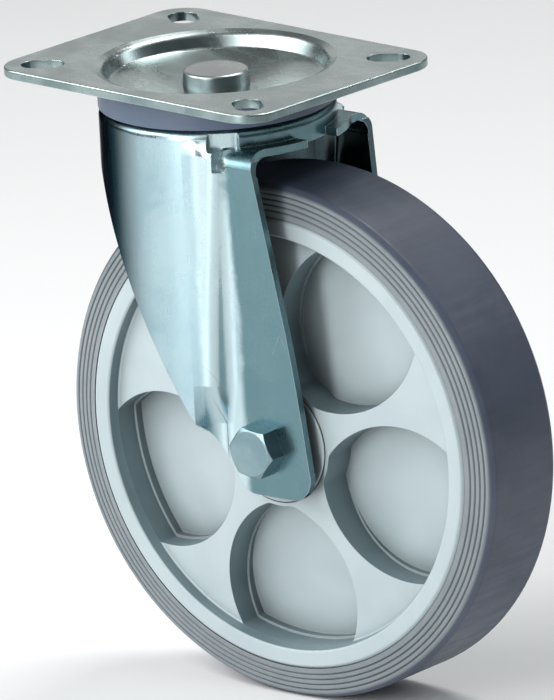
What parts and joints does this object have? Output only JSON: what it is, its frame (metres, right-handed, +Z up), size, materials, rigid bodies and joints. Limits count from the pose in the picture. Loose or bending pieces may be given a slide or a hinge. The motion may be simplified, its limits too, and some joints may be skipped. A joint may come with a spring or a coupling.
{
  "type": "swivel plate castor",
  "caption": "Swivel plate castor: pressed zinc plated fork on a ball swivel under a slotted mounting plate, spoked plastic wheel with a soft tyre.",
  "frame": {"origin": "middle of the mounting plate's top face, on the swivel axis", "axes": "+Z up out of the plate's top face, X along the plate's long side, Y along its short side; at rest the fork is swivelled 4.6 degrees about +Z and the wheel trails towards +X"},
  "size_m": [0.2059, 0.105, 0.238],
  "materials": {
    "zinc_plate": "bright zinc plated, satin",
    "zinc_pin": "zinc plated, satin",
    "zinc_fork": "blue zinc plated, smooth satin",
    "zinc_bolt": "zinc plated, satin",
    "hard_steel": "turned, lightly oiled",
    "bearing_steel": "polished",
    "seal_plastic": "moulded, satin",
    "hub_plastic": "moulded, satin",
    "cage_plastic": "moulded, satin",
    "lock_nylon": "moulded, satin",
    "soft_tyre": "smooth thermoplastic rubber, satin"
  },
  "bodies": {
    "plate": {"top_plate": "zinc_plate", "king_pin": "zinc_pin", "lower_race_cup": "hard_steel"},
    "swivel_fork": {"fork": "zinc_fork", "dust_seal": "seal_plastic", "axle_bolt": "zinc_bolt", "axle_nut": "zinc_bolt", "nut_lock_ring": "lock_nylon", "nut_washer": "zinc_bolt", "axle_sleeve": "hard_steel", "spacer_near": "hub_plastic", "spacer_far": "hub_plastic"},
    "wheel": {"wheel_rim": "hub_plastic", "wheel_hub": "hub_plastic", "wheel_web": "hub_plastic", "spokes_near": "hub_plastic", "spokes_far": "hub_plastic", "tyre": "soft_tyre", "hub_cap_near": "hub_plastic", "hub_cap_far": "hub_plastic", "bearing_shell": "hard_steel"},
    "rollers": {"roller_cage": "cage_plastic", "bearing_rollers": "bearing_steel"},
    "upper_ball_ring": {"upper_bearing_balls": "bearing_steel"},
    "lower_ball_ring": {"lower_bearing_balls": "bearing_steel"}
  },
  "joints": [
    {"name": "swivel", "type": "hinge", "parent": "plate", "child": "swivel_fork", "pos_m": [0, 0, -0.02], "axis": [0, 0, 1], "continuous": true},
    {"name": "wheel_spin", "type": "hinge", "parent": "swivel_fork", "child": "wheel", "pos_m": [0.03788, 0.00305, -0.138], "axis": [-0.0802, 0.9968, 0], "continuous": true},
    {"name": "roller_orbit", "type": "hinge", "parent": "swivel_fork", "child": "rollers", "pos_m": [0.03788, 0.00305, -0.138], "axis": [-0.0802, 0.9968, 0], "continuous": true},
    {"name": "upper_ball_orbit", "type": "hinge", "parent": "plate", "child": "upper_ball_ring", "pos_m": [0, 0, -0.013], "axis": [0, 0, 1], "continuous": true},
    {"name": "lower_ball_orbit", "type": "hinge", "parent": "plate", "child": "lower_ball_ring", "pos_m": [0, 0, -0.0207], "axis": [0, 0, 1], "continuous": true}
  ],
  "couplings": [
    {"joint": "roller_orbit", "follows": "wheel_spin", "ratio": 0.5868},
    {"joint": "upper_ball_orbit", "follows": "swivel", "ratio": 0.5},
    {"joint": "lower_ball_orbit", "follows": "swivel", "ratio": 0.5}
  ]
}
